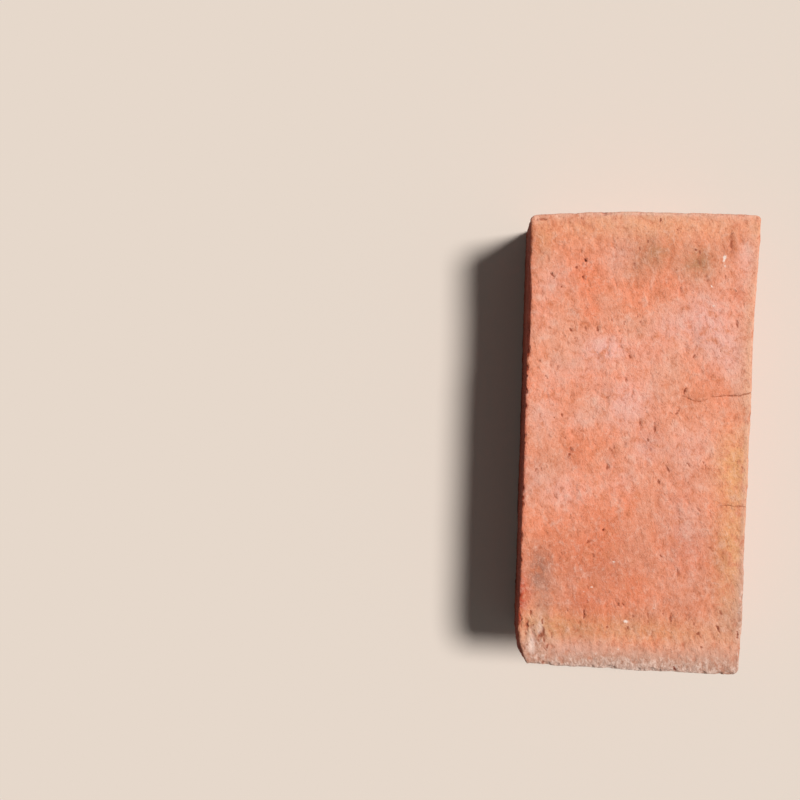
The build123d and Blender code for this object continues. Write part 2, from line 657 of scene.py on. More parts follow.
@dataclass
class ClayBrick:
    """The brick: its block, its wear and its marks."""

    low: np.ndarray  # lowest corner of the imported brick
    high: np.ndarray  # highest corner
    pitch: float = 0.5  # distance between the net's lines
    bands: tuple[Band, ...] = (  # along Y: the two cracks, and the step of the flake
        Band(24.5, 4.5, 1.0), Band(-27.6, 1.5, 1.2), Band(43.1, 1.2, 0.8)
    )
    most_faces: int = 196000  # triangles that the finished piece may have
    seed: int = 29
    corners: tuple[tuple[int, int, float], ...] = (  # X and Y sense of each upright corner, and its radius
        (-1, 1, 2.3), (1, 1, 2.6), (-1, -1, 2.6), (1, -1, 4.6)
    )
    upper_arris: float = 1.6  # usual radius
    lower_arris: float = 1.4
    worn_arris: Patch = Patch(-50, -106, 13, 13, 0.5)  # share by which arrises are rounder there
    crisper: float = 0.55  # share by which the rubbed part of the left arris is crisper
    finish: FiredClay = FiredClay()
    warping: Warping = Warping()
    worn_corner: WornCorner = WornCorner()
    flake: Flake = Flake()
    nicks: int = 260  # random chips along the arrises
    left_chips: tuple[tuple[float, ...], ...] = (  # on the upper left arris: Y, length, width, depth
        (35.5, 3.4, 3.0, 1.0), (-23.5, 5.0, 3.4, 1.0), (-48.4, 3.0, 3.0, 0.8), (-88.0, 8.0, 3.6, 1.1)
    )
    skin: Skin = Skin()
    cracks: tuple[Crack, ...] = (
        Crack(
            reach=(19.5, 22.4, 25.3, 28.5, 30.6, 33.2, 34.2, 37.0, 39.8, 47.1, 52.0, 58.0, 66.0, 76.0),
            path=(24.6, 23.9, 22.3, 21.9, 22.2, 23.6, 24.4, 24.4, 25.0, 25.1, 26.6, 27.6, 26.4, 28.6),
            opening=(0.06, 0.16, 0.19, 0.15, 0.08, 0.0, 0.1, 0.17, 0.19, 0.2, 0.2, 0.22, 0.2, 0.0),
        ),
        Crack(
            reach=(41.0, 43.0, 47.0, 52.0, 58.0, 64.0),
            path=(-27.3, -27.4, -27.6, -27.6, -28.4, -27.2),
            opening=(0.03, 0.1, 0.12, 0.14, 0.12, 0.0),
            depth=0.6,
        ),
    )
    scatters: tuple[Scatter, ...] = (
        Scatter(Side.UPPER_BED, 0.3, 15.0),
        Scatter(Side.LOWER_BED, lean=75.0, longer=1.7),
        Scatter(Side.LEFT),
        Scatter(Side.RIGHT, lean=90.0),
        Scatter(Side.NEAR_END, lean=90.0, longer=1.6),
        Scatter(Side.FAR_END, longer=1.6),
    )
    holes: tuple[Hole, ...] = rows(  # those that show plainly on the upper bed
        Hole,
        (-26.6, 87.8, 1.9, 1.5, 1.2), (-30.7, 84.4, 2.2, 1.1, 0.9, 10), (-27.7, 79.8, 1.7, 1.2, 0.9),
        (-42.3, 81.0, 3.2, 1.0, 0.6, 40), (-37.6, 75.1, 1.4, 1.0, 0.8), (15.4, 102.2, 1.6, 1.2, 0.6),
        (-32.4, 54.5, 2.4, 1.2, 0.7, 35), (-30.4, 50.5, 1.5, 1.0, 0.5), (-20.0, 55.0, 3.0, 1.2, 0.55, 5),
        (-7.6, 58.4, 2.6, 0.9, 0.5, 10), (-4.3, 42.4, 2.8, 1.1, 0.7, 20), (-46.6, 39.4, 1.5, 1.2, 0.7),
        (-43.3, 31.7, 2.4, 0.8, 0.5, 35), (-5.8, 31.7, 3.4, 1.6, 0.4, 15), (-35.3, 13.6, 2.8, 0.9, 0.7, 15),
        (-20.7, 15.0, 8.0, 0.6, 0.35, 0), (-33.5, 2.5, 1.8, 0.8, 0.6, 50), (-19.2, 0.0, 2.4, 0.7, 0.5, 30),
        (21.8, 26.7, 3.4, 1.2, 0.8, -20), (33.9, 33.7, 1.6, 1.0, 0.4), (19.0, 16.9, 5.0, 1.2, 0.4, -35),
        (8.6, 8.6, 6.4, 1.4, 0.42, 4), (1.7, 10.6, 6.0, 0.9, 0.55, 4), (31.9, -7.3, 3.0, 0.8, 0.5, 25),
        (25.4, -8.9, 3.4, 0.7, 0.5, 35), (-13.8, -41.7, 1.4, 1.3, 1.3), (-20.5, -47.9, 3.4, 1.1, 0.6, -60),
        (13.9, -53.1, 2.0, 0.9, 0.4), (-17.9, -54.2, 2.0, 0.9, 0.5, 30), (-9.7, -63.7, 1.8, 0.9, 0.5, 30),
        (22.7, -61.4, 3.0, 1.0, 0.4, 0), (37.6, -66.6, 1.6, 1.2, 0.5, 0), (-20.2, -77.6, 2.2, 0.9, 0.5, 0),
        (-5.4, -77.9, 3.6, 1.0, 0.8, 40), (42.8, -79.7, 2.6, 0.9, 0.7, 10), (19.9, -83.7, 5.0, 1.3, 0.5, 8),
        (-21.4, -83.3, 6.2, 1.0, 0.85, 2), (-0.2, -89.5, 2.4, 1.6, 0.5, 20), (33.0, -90.1, 1.5, 1.1, 0.6),
        (42.0, -87.6, 5.8, 1.0, 0.75, 28), (-48.6, -90.5, 4.4, 1.2, 1.0, 6),
        (-51.9, -88.4, 3.4, 1.1, 0.8, 0), (-47.1, -84.6, 3.0, 0.9, 0.6, 10),
        (-45.7, -89.6, 3.6, 0.8, 0.4, 5), (-42.9, -96.6, 4.6, 0.9, 0.5, -8),
        (-39.7, -101.8, 3.4, 0.8, 0.5, 40), (-41.4, -88.8, 3.0, 0.8, 0.6, 10),
        (-36.7, -95.0, 4.0, 0.8, 0.4, 12), (51.0, -90.1, 4.4, 1.0, 0.7, 5), (34.6, -97.0, 1.4, 1.0, 0.6),
        (-38.7, -100.6, 2.6, 1.4, 0.4, -30), (40.1, 97.0, 11.0, 1.9, 0.4, 4),
        (25.9, 87.4, 5.5, 1.6, 0.4, 20), (29.6, 81.2, 2.4, 1.2, 0.4, 10), (44.9, 59.0, 4.4, 1.2, 0.5, 12),
        (-47.6, 107.6, 4.6, 1.3, 0.8, 88), (-33.1, -85.1, 2.2, 1.0, 0.35, 20),
        (-28.3, -87.2, 2.0, 1.0, 0.35, 30), (2.4, -83.1, 3.0, 1.1, 0.35, 15),
        (9.1, -82.5, 3.4, 1.0, 0.4, 10), (16.2, -81.7, 2.4, 1.0, 0.35, 20),
        (30.7, -85.6, 2.2, 1.2, 0.35, 20), (37.2, -78.8, 2.6, 1.0, 0.35, 15),
        (34.0, -91.8, 2.8, 1.1, 0.35, 35), (-41.6, -87.8, 2.6, 1.1, 0.25, 10),
        (-39.0, -95.9, 3.0, 1.0, 0.2, 15), (-29.3, -82.4, 2.6, 1.0, 0.35, 20),
        (-43.4, -80.8, 2.6, 1.2, 0.3, 10), (-1.1, -90.6, 2.6, 1.1, 0.35, 20),
        (11.3, -93.1, 2.4, 1.1, 0.35, 10), (-30.5, -3.0, 3.2, 1.4, 0.65, 25),
        (-31.3, -5.7, 3.0, 1.2, 0.6, -20), (-11.2, -3.0, 3.0, 1.3, 0.55, 25),
        (-12.9, -11.1, 4.0, 1.2, 0.75, 5), (-4.7, 1.0, 3.0, 1.1, 0.35, 20), (6.8, -1.7, 3.2, 1.2, 0.4, 30),
        (-10.1, -1.6, 3.0, 1.2, 0.4, 15), (-20.8, -47.4, 2.6, 1.4, 0.35, -50),
        (11.6, -17.4, 3.0, 1.4, 0.55, 15), (15.6, -11.0, 4.4, 1.1, 0.5, 30),
        (-2.9, -78.0, 2.4, 1.0, 0.7, 40), (42.8, -79.7, 3.0, 1.0, 0.55, 25),
        (14.0, -53.2, 2.6, 1.1, 0.6, 40), (37.2, -48.7, 3.6, 0.9, 0.5, 35),
        (-23.2, -88.3, 2.0, 1.1, 0.55, 10), (-10.2, -89.6, 1.6, 1.1, 0.6, 0),
        (-17.7, -54.7, 2.4, 1.0, 0.5, -10), (-33.0, -54.4, 2.4, 1.0, 0.45, 20),
        (33.1, -9.7, 5.0, 1.0, 0.5, 0), (36.5, -32.7, 4.2, 0.8, 0.55, 15),
        (30.8, -30.1, 3.6, 0.9, 0.55, 40), (-37.3, -26.0, 4.4, 0.9, 0.45, 35),
        (32.6, -90.6, 1.6, 1.4, 0.65, 0), (-17.7, -54.0, 1.8, 0.9, 0.4, 30),
        (-46.9, -13.6, 2.6, 1.2, 0.5, -15), (5.7, 2.8, 3.0, 1.0, 0.5, 30), (25.8, 92.1, 3.0, 1.0, 0.4, 15),
        (1.8, 96.5, 2.4, 1.0, 0.45, 10), (-3.7, 86.2, 2.6, 1.2, 0.4, 20), (-13.4, 59.6, 2.4, 0.9, 0.4, 15),
        (0.1, 58.9, 2.4, 1.1, 0.45, 15), (-46.9, 91.8, 2.0, 1.0, 0.4, 10), (-1.4, 61.8, 1.8, 0.9, 0.4, 0),
        (-25.4, 55.1, 3.4, 1.2, 0.4, 10), (38.2, 80.6, 3.4, 1.1, 0.35, 10),
        (30.1, 79.1, 2.4, 1.2, 0.45, 20), (-1.7, 93.2, 2.6, 1.0, 0.35, 15),
        (39.2, -10.5, 3.0, 0.9, 0.35, 20), (49.7, -9.1, 2.2, 0.9, 0.4, 20),
        (22.4, -61.1, 5.0, 1.2, 0.35, 5),
    )
    stains: tuple[tuple[Mark, tuple[Patch, ...]], ...] = (
        (Mark.DEEP, rows(
            Patch,
            (-27, -62, 26, 17, 0.34), (0, -58, 28, 18, 0.2), (-24, -82, 7, 14, 0.16),
            (-24, 72, 15, 13, 0.08), (-49, 96, 10, 5, 0.3), (40, 96, 9, 3.5, 0.35), (-30, -5, 6, 4, 0.5),
            (-12, -6, 7, 4, 0.3), (10, 6, 6, 4, 0.3), (33, 36, 5, 5, 0.2), (-20, 27, 6, 5, 0.2),
            (25, -80, 8, 14, 0.2), (24, -50, 24, 10, 0.26), (43, -52, 20, 8, 0.6), (45.3, 72.8, 6, 3, 0.35),
            (-50.4, 99.3, 6, 3, 0.3),
        )),
        (Mark.WARM, rows(
            Patch,
            (-12, -52, 32, 27, 0.3), (-25, 82, 8, 9, 0.34), (-20, 64, 9, 10, 0.26), (5, 77, 7, 16, 0.15),
            (-30, 100, 6, 20, 0.15),
        )),
        (Mark.BLOOM, rows(
            Patch,
            (30, 60, 14, 13, 0.8), (12, 57, 7, 8, 0.4), (40, 47, 10, 9, 0.4), (-5, 20, 13, 13, 0.75),
            (-16, 46, 6, 10, 1.05), (5, -2, 7, 7, 0.55), (-6, -17, 8, 9, 0.35), (5, 44, 9, 9, 0.3),
            (44, 40, 9, 8, 0.3), (-24, 35, 7, 8, 0.3), (-27, 12, 7, 6, 0.3), (25, 0, 10, 10, 0.4),
            (-33, -23, 9, 12, 0.5), (-42, 78, 8, 9, 0.35), (-46, 60, 10, 6, 0.25), (-44, 14, 12, 8, 0.4),
            (-38, 34, 8, 9, 0.3), (-49, -18, 9, 5, 0.3), (24, -38, 24, 10, 0.34, 10),
            # (0, 110.5) at the end of this line and (53, 10) on the next are painted highlights along the
            # far and right arrises, over the bloom
            (-28, -103, 6, 14, 0.6), (-46, -95, 8, 6, 0.4), (0, 106, 6, 50, 0.3), (0, 110.5, 3, 60, 1.5),
            (53, 10, 100, 5.2, 0.9), (-10, 90, 8, 8, 0.3), (48, 90, 10, 5, 0.6),
        )),
        (Mark.OCHRE, rows(
            Patch,
            (45, -8, 15, 7, 0.75), (46, -48, 24, 7, 0.7), (47, -80, 12, 6, 0.35), (0, -91, 6, 50, 0.4),
            (-37, -91, 8, 8, 0.35), (-46, -93, 10, 7, 0.7), (52, 10, 110, 4, 0.5), (-47, 97, 10, 4, 0.2),
            (0, 104, 7, 60, 0.4), (0, 110, 4, 60, 0.3),
        )),
        (Mark.DAMP, rows(
            Patch,
            (25.6, 87, 7, 7, 0.7), (5, 92, 7, 8, 0.55), (14, 90, 9, 22, 0.15), (-4, 83, 6, 6, 0.25),
            (46, -78, 12, 8, 0.2), (-30, -92, 6, 18, 0.35), (12, -89, 5, 30, 0.28), (48, 2, 60, 4, 0.12),
            (-47, 95, 10, 5, 0.1),
        )),
        (Mark.SOOT, rows(
            Patch,
            (-44.0, -62.5, 11.5, 6.2, 0.66, -6), (-14, -64, 22, 20, 0.13), (-41, -78, 10, 4, 0.35),
            (-50, -18, 9, 5, 0.22), (24, -42, 26, 9, 0.08, 10), (8, -52, 28, 24, 0.06),
            (5.3, 0.4, 4, 3, 0.25), (26.1, 55.2, 7, 3, 0.2, 20),
        )),
        (Mark.FRESH, rows(
            Patch,
            (-51.8, -76.0, 9, 3.8, 0.78), (-53, 0, 110, 1.6, 0.45), (-21, -78, 3, 5, 0.2),
        )),
        (Mark.DUST, rows(
            Patch,
            # the bands along the arrises, (0, -110.5), (53, -10), (0, 110.5) and (52.5, -75), are partly
            # painted highlights
            (0, -107, 8, 60, 1.1), (0, -110.5, 3.2, 60, 0.8), (53, -10, 110, 2.4, 0.5),
            (0, 110.5, 2.6, 60, 0.5), (48, -75, 28, 8, 0.22), (52.5, -75, 30, 3.0, 0.5),
            (40, -104, 6, 14, 0.35), (-45, -97, 10, 7, 0.7), (-11, 93, 9, 7, 0.3),
            (-42.3, -79.8, 9, 3.5, 0.35), (46, -84, 9, 6, 0.3),
        )),
        (Mark.CHALK_AND_HIGHLIGHT, rows(
            Patch,
            (37.2, 90.1, 0.8, 0.65, 1.8), (36.9, 88.5, 0.6, 0.5, 1.2), (37.5, 86.2, 0.4, 0.4, 1.0),
            (32.0, 76.4, 0.45, 0.4, 1.1), (33.3, 67.1, 0.45, 0.4, 1.2), (-8.2, -57.2, 0.4, 0.6, 1.0),
            (-23.6, -61.6, 0.4, 0.4, 0.7), (-18.2, -70.1, 0.45, 0.5, 1.0), (-21.8, -72.7, 0.4, 0.4, 0.8),
            (-1.4, -86.3, 0.45, 1.2, 1.3), (-4.5, -100.0, 0.5, 0.6, 0.7), (-15.1, -102.8, 0.7, 0.6, 0.6),
            (-43.0, -93.9, 1.6, 0.8, 0.3, 20), (-46.0, -99.4, 3.0, 1.7, 0.33, 2),
            (-47.0, -95.0, 8.0, 4.5, 0.32), (-42.0, -91.0, 4.0, 1.4, 0.4, 15),
            (-46.0, -103.5, 2.5, 2.2, 0.35, 60), (39.2, -65.3, 0.35, 2.4, 0.6),
            # (0.0, 109.2) and (0.0, -109.6) on this line and (51.0, -10.0) on the next are painted
            # highlights along the far, near and right arrises
            (11.8, -79.2, 0.5, 0.6, 0.6), (0.0, 109.2, 2.2, 70.0, 0.34), (0.0, -109.6, 1.6, 60.0, 0.36),
            (51.0, -10.0, 100.0, 2.8, 0.31),
        )),
    )
    charts: tuple[Chart, ...] = (
        Chart(Side.UPPER_BED, (0.004, 0.004), (0.0036, 0.0044), 0, 1),
        Chart(Side.LEFT, (0.392, 0.004), (0.003, 0.0034), 2, 1),
        Chart(Side.RIGHT, (0.578, 0.004), (0.003, 0.0034), 2, 1),
        Chart(Side.LOWER_BED, (0.764, 0.004), (0.0022, 0.0034), 0, 1),
        Chart(Side.NEAR_END, (0.392, 0.76), (0.0027, 0.0032), 0, 2),
        Chart(Side.FAR_END, (0.69, 0.76), (0.0027, 0.0032), 0, 2),
    )

    def __post_init__(self) -> None:
        """Lays the net over the block."""
        self.rng = np.random.default_rng(self.seed)
        self.noise = ClayNoise(self.seed)
        self.pitch *= 1.0
        self.net = Net((
            ruled(self.low[0], self.high[0], self.pitch),
            ruled(self.low[1], self.high[1], self.pitch, self.bands),
            ruled(self.low[2], self.high[2], self.pitch),
        ))
        self.sharp = self.net.points
        self.marks = {mark: np.zeros(len(self.sharp)) for mark in Mark}

    def waves(self, kind: Wave) -> np.ndarray:
        """One of the body's sets of random waves: a height for each point, about -1 to 1."""
        size, layers, fade, shift = kind.value
        return self.noise.layered(self.sharp / size + shift, layers, fade)

    def drawn(self, kind: Drawn) -> np.ndarray:
        """Waves that are drawn out along each side: along the beds with a lean, else along the brick.

        Each axis has its own pattern, and the square of the normal's share on the axis says how much of
        it shows, so that the patterns melt into each other round the arrises.

        Args:
            kind: Which waves.

        Returns:
            One height for each point, about -1 to 1.
        """
        width, length, layers, fade = kind.value
        lean = math.radians(self.finish.lean)
        turn = np.array([
            [math.cos(lean), -math.sin(lean), 0],
            [math.sin(lean), math.cos(lean), 0],
            [0, 0, 1],
        ])
        cells = ((width, length, width), (length, width, width), (width, length, width))
        turns = (np.eye(3), np.eye(3), turn)
        least, apart = 0.01, 7.7  # the part that is too small to show, and cells between the axes' patterns
        total = np.zeros(len(self.sharp))
        for axis, (cell, way) in enumerate(zip(cells, turns)):
            part = self.normal[:, axis] ** 2
            here = np.flatnonzero(part > least)
            places = self.sharp[here] @ way / cell + (apart * axis + width)
            total[here] += part[here] * self.noise.layered(places, layers, fade)
        return total

    def round_off(self) -> None:
        """Rounds the upright corners in plan, and then the level arrises.

        In plan, a point whose largest step from a corner's centre is m goes to the distance m from it.
        Across an arris of radius r, a point whose larger step from the line r inside both faces is l goes
        to the distance l from that line. r swells and narrows along the arris, and the left arris is
        crisp between the flake and the near corner, where rubbing has bared it.
        """
        x, y, z = self.sharp.T
        half = (self.high - self.low)[:2] / 2
        radius = np.zeros(len(x))
        for sense_x, sense_y, size in self.corners:
            radius[(sense_x * x >= 0) & (sense_y * y >= 0)] = size
        flat = self.sharp[:, :2]
        centre = np.clip(flat, radius[:, None] - half, half - radius[:, None])
        step = flat - centre
        most = np.abs(step).max(axis=1)
        away = np.linalg.norm(step, axis=1)
        outward = step / np.maximum(away, TINY)[:, None]
        plan = centre + outward * most[:, None]
        inside = radius - most
        rubbed = rise(x, -45, -5) * rise(y, 46, -4) * rise(y, -100, 12)
        worn = 1 + self.worn_arris.at(x, y) - self.crisper * rubbed
        uneven, least, widest = 0.5, 0.5, 0.95  # of an arris's radius; the last is a share of the corner's
        usual = (1 + uneven * self.waves(Wave.ARRIS)) * worn
        self.place = np.column_stack([plan, z])
        self.normal = np.column_stack([outward, np.zeros(len(x))])
        for level, sense, size in ((self.high[2], 1, self.upper_arris), (self.low[2], -1, self.lower_arris)):
            arris = np.clip(size * usual, least, radius * widest)
            below = sense * (level - z)
            bed = below == 0
            corner = (inside < arris) & (below < arris)
            across = np.column_stack([inside - arris, below - arris])
            length = np.linalg.norm(across, axis=1)
            larger = np.abs(across).max(axis=1)
            turned = across * (larger / np.maximum(length, TINY))[:, None] + arris[:, None]
            moved = np.where(corner, turned[:, 0] - inside, 0)
            self.place[:, :2] -= outward * moved[:, None]
            self.place[:, 2] = np.where(corner, level - sense * turned[:, 1], self.place[:, 2])
            share = np.where(corner, (arris - turned[:, 0]) / arris, np.where(bed, 0, 1))
            slope = np.where(corner, (arris - turned[:, 1]) / arris, np.where(bed, 1, 0))
            touched = corner | bed
            self.normal[touched, :2] = (outward * share[:, None])[touched]
            self.normal[touched, 2] = (sense * slope)[touched]
        self.normal /= np.linalg.norm(self.normal, axis=1, keepdims=True)

    def warp(self) -> None:
        """Bends the sides as they shrank: a crowned far end, and a right side that falls in.

        The far end falls back by the square of the distance from its fullest line, faster on the left.
        The right side's moves are bells along the brick. Both fade out towards the middle of the brick,
        and both ends bulge a little.
        """
        w = self.warping
        x, y, _ = self.sharp.T
        rate = np.where(x < w.fullest, w.left_rate, w.right_rate)
        self.place[:, 1] -= (x - w.fullest) ** 2 * rate * rise(y, *w.crown)
        self.place[:, 0] += (w.right_falls.at(x, y) + w.right_swells.at(x, y)) * rise(x, *w.right)
        self.place[:, 1] += w.bulge * np.sign(y) * rise(np.abs(y), *w.ends)

    def wear_corner(self) -> None:
        """Wears the upper end of the near left corner back to a slanting plane, softly at its edges.

        The plane meets the three edges at the corner's reaches across, along and down. A point's depth
        behind it is 1, less its three distances in shares of those reaches, over the plane's slope.
        """
        c = self.worn_corner
        way = np.array([1 / c.across, 1 / c.along, -1 / c.down])
        slope = np.linalg.norm(way)
        left, near, _ = (self.place - self.low).T
        below = self.high[2] - self.place[:, 2]
        over = (1 - left * way[0] - near * way[1] + below * way[2]) / slope
        self.place += way / slope * softened(over, c.soft)[:, None]

    def spall(self) -> None:
        """Takes the long flake off the left arris of the upper bed.

        The cut is a plane that leaves the bed a little inside its edge and meets the side a few
        millimetres down. It deepens slowly from the far end and stops at a step.
        """
        f = self.flake
        x, y, z = self.place.T
        share = rise(y, f.start, f.full - f.start) * rise(y, f.end - f.step / 2, f.step)
        inwards = (f.inwards + f.ragged * self.waves(Wave.FLAKE)) * share + f.least
        down = f.down * share + f.least
        left = x - self.low[0]
        below = self.high[2] - z
        over = 1 - left / inwards - below / down
        slope = np.hypot(1 / inwards, 1 / down)
        close = (left < f.room[0]) & (below < f.room[1])
        cut = np.where(close & (over > 0), over / slope, 0)
        way = np.column_stack([1 / inwards, np.zeros(len(x)), -1 / down]) / slope[:, None]
        self.place += way * cut[:, None]
        self.marks[Mark.FRESH] += f.bared * rise(cut, 0, f.bared_at)

    def random_chips(self) -> list[Chip]:
        """Small chips at random along the twelve arrises.

        Returns:
            The chips.
        """
        tilt, slew = (0.6, 1.4), 0.25  # weights of an arris's two sides and its run in a chip's outward way
        least, usual, upper = 1.0, 0.8, 0.7  # the smallest, what is added to it, the share by the upper bed
        sunk, deepest = 0.5, 1.2  # how far inside the arris the middle is, and the greatest depth
        lengths, width, depth = (1.2, 2.8), 1.6, 0.36  # in sizes
        chips = []
        for _ in range(self.nicks):
            run = int(self.rng.integers(3))
            ends = self.rng.integers(0, 2, 3)
            middle = np.where(ends, self.high, self.low).astype(float)
            middle[run] = self.rng.uniform(self.low[run], self.high[run])
            outward = np.where(ends, 1.0, -1.0) * self.rng.uniform(*tilt, 3)
            outward[run] = self.rng.normal(0, slew)
            share = upper if middle[2] == self.high[2] else 1.0
            size = (least + usual * self.rng.exponential()) * share
            chips.append(Chip(
                tuple(middle - outward * (sunk / np.linalg.norm(outward))),
                tuple(outward),
                tuple(np.eye(3)[run]),
                size * self.rng.uniform(*lengths),
                size * width,
                min(size * depth, deepest),
            ))
        return chips

    def placed_chips(self) -> list[Chip]:
        """The chips that show plainly on the upper arrises.

        Returns:
            The chips.
        """
        left, near, _ = self.low
        right, far, top = self.high
        return [
            Chip((right, far, top), (1, 1, 1.2), (1, -1, 0), 3.0, 3.0, 0.5),
            Chip((43.6, near, top - 0.5), (0.2, -1, 0.8), (1, 0, 0), 4.5, 3.0, 1.0),
            Chip((-46.3, far, top), (-0.2, 1, 1), (1, 0, 0), 5.5, 2.4, 0.6),
            *(Chip((left, y, top), (-1, 0, 1), (0, 1, 0), *size) for y, *size in self.left_chips),
        ]

    def chip_off(self, chips: list[Chip]) -> None:
        """Bites each chip out of the block.

        A chip's body is an oval whose middle stands out of the block by half its depth. A point inside it
        moves straight in to the body's far wall: its height on the unit ball, plus the root of 1 less its
        squared steps along and across.

        Args:
            chips: The chips to take off.
        """
        raised = 0.5  # height of the middle, as a share of the body's half depth
        widen = 1 / math.sqrt(1 - raised ** 2)
        ragged = 1 + 0.5 * self.waves(Wave.CHIP)
        bared, bared_at = 0.6, 0.5  # how fresh the clay looks, from which depth
        margin, widest = 1.2, 9.0  # how far from a chip and from an arris its points are looked for
        reach = np.minimum(self.sharp - self.low, self.high - self.sharp)
        near = np.flatnonzero(np.sort(reach, axis=1)[:, 1] < widest)
        for chip in chips:
            out = np.array(chip.outward) / np.linalg.norm(chip.outward)
            along = np.array(chip.along, float)
            along -= out * (along @ out)
            along /= np.linalg.norm(along)
            across = np.cross(out, along)
            tall = chip.depth / (1 - raised)
            step = self.place[near] - chip.middle
            close = np.abs(step).max(axis=1) < max(chip.length, chip.width, chip.depth) * margin
            index = near[close]
            step = step[close]
            a = step @ along / (chip.length / 2 * widen)
            b = step @ across / (chip.width / 2 * widen)
            c = step @ out / tall - raised
            room = 1 - (a * a + b * b) * ragged[index]
            move = np.maximum(np.where(room > 0, c + np.sqrt(np.maximum(room, 0)), 0), 0) * tall
            self.place[index] -= out * move[:, None]
            self.marks[Mark.FRESH][index] += bared * rise(move, 0, bared_at)

    def roughen(self) -> np.ndarray:
        """Works out the relief of the pressed and fired skin.

        It has slow waves, lumps, grains, crumbs and ragged pocks. The pocks are where drawn-out waves
        rise over a level, which a slower wave moves, so that they come in groups. Tops are levelled off
        softly.

        Returns:
            How far each point goes in.
        """
        s = self.skin
        x, y, _ = self.sharp.T
        corner = s.corner.at(x, y)
        crumbly = s.crumbly + sum(patch.at(x, y) for patch in s.patches)
        crumbly *= 1 + s.uneven * self.waves(Wave.CRUMBLY)
        lumps = s.lumps * self.drawn(Drawn.LUMP) * (1 + s.corner_lumps * corner)
        grains = s.grains * self.drawn(Drawn.GRAIN) * crumbly + s.ribs * corner * self.drawn(Drawn.RIB)
        crumbs = s.crumbs * self.waves(Wave.CRUMB) * crumbly
        level = s.pock_level - s.pock_groups * self.waves(Wave.GROUP) - s.pock_more * (crumbly - 1)
        pocks = rise(self.drawn(Drawn.POCK), level, s.pock_edge)
        tops = s.middle_tone - s.tone * (s.lump_tone * lumps + grains + crumbs)
        self.marks[Mark.RAISED_LIGHT_AND_SHADE] = np.clip(tops, 0, 1)
        self.marks[Mark.HOLLOW] = s.pock_shade * pocks * crumbly
        depth = s.slow * self.waves(Wave.SLOW) + lumps + grains + crumbs
        lower = self.normal[:, 2] < -0.5
        rest = np.percentile(depth, s.seat)
        depth -= np.where(lower, rest, s.lift * rest)
        proud = np.where(lower, 0, s.proud)
        return softened(depth + proud, s.soft) - proud + s.pocks * pocks

    def press(self, depth: np.ndarray, side: Side, holes: tuple[Hole, ...]) -> None:
        """Sinks holes into a side.

        A hole's depth is the root of 1 less the squared distance from its middle, along and across, with
        the distance varied by a fine wave, so that no outline is a plain oval.

        Args:
            depth: How far each point goes in, which the holes are added to.
            side: The side that they are in.
            holes: The holes, in the side's own axes.
        """
        margin, uneven = 0.9, 0.6  # how far out a hole's points are looked for, and how its floor varies
        shallow, darker, darkest = 0.25, 0.8, 1.1  # shade with no depth, what a millimetre adds, the most
        first, second = (self.net.lines[k] for k in side.along)
        sheet = self.net.sheets[side]
        for hole in holes:
            reach = max(hole.length, hole.width) * margin
            here = slice(*np.searchsorted(first, (hole.first - reach, hole.first + reach)))
            there = slice(*np.searchsorted(second, (hole.second - reach, hole.second + reach)))
            index = sheet[here, there]
            a = first[here, None] - hole.first
            b = second[None, there] - hole.second
            away = oval(a, b, hole.length / 2, hole.width / 2, hole.lean)
            wave = self.ripple[index]
            share = np.sqrt(np.clip(1 - away * (1 + wave) - uneven * wave, 0, 1))
            depth[index] = np.maximum(depth[index], hole.depth * share)
            shade = min(darkest, shallow + darker * hole.depth) * share
            self.marks[Mark.HOLLOW][index] = np.maximum(self.marks[Mark.HOLLOW][index], shade)

    def scattered(self, scatter: Scatter) -> tuple[Hole, ...]:
        """Random pores and drag marks for a side.

        Args:
            scatter: How many there are, and what they are like.

        Returns:
            The holes.
        """
        square = 100.0  # square millimetres in a square centimetre
        usual, spread, least, most = 0.75, 0.35, 0.5, 2.0  # the widths, and how far their logarithms spread
        shallowest, deepest, uneven = 0.1, 0.55, 25.0  # depths in widths, and the spread of the leans
        low, high = (corner[list(scatter.side.along)] for corner in (self.low, self.high))
        count = int(np.prod(high - low) / square * scatter.per_cm2)
        middles = self.rng.uniform(low, high, (count, 2))
        widths = np.clip(usual * np.exp(self.rng.normal(0, spread, count)), least, most)
        lengths = widths * (1 + (scatter.longer - 1) * self.rng.uniform(0, 2, count))
        depths = widths * self.rng.uniform(shallowest, deepest, count)
        leans = scatter.lean + self.rng.normal(0, uneven, count)
        return rows(Hole, *np.column_stack([middles, lengths, widths, depths, leans]))

    def crack_open(self, depth: np.ndarray) -> None:
        """Cuts each crack as a groove with sloping walls, and paints shade along its line.

        The groove's depth falls evenly from the path to its edge. A fine wave bends the path and opens
        and shuts the groove along it.

        Args:
            depth: How far each point goes in, which the grooves are added to.
        """
        wave, place, bend = 2.0, 4.2, 0.25  # the bends' size, place in the noise and height
        finer, shift, change = 1.7, 5.5, 0.9  # the same of the opening's changes
        tightest, widest = 0.3, 1.5  # shares of the opening
        walls, shut = 1.5, 0.02  # half widths from path to edge, and the half width that counts as shut
        hollow, shade = 4.0, 1.6  # the depth that leaves no room for a groove, and how dark the painted shade along its line is
        x, y, z = self.sharp.T
        over = x + (self.high[2] - z)
        there = (z == self.high[2]) | (x == self.high[0])
        run = np.column_stack([over / wave, np.zeros(len(x)), np.full(len(x), place)])
        bent = bend * self.noise.at(run)
        opened = np.clip(1 + change * self.noise.at(run * finer + shift), tightest, widest)
        for crack in self.cracks:
            middle = np.interp(over, crack.reach, crack.path) + bent
            half = np.interp(over, crack.reach, crack.opening, left=0, right=0) * opened
            away = np.abs(y - middle) / np.maximum(half * walls, shut)
            share = np.where(there & (half > shut), np.clip(1 - away, 0, 1), 0)
            depth += crack.depth * share * (1 - depth / hollow)
            self.marks[Mark.CRACK_SHADE] = np.maximum(self.marks[Mark.CRACK_SHADE], np.minimum(share * shade, 1))

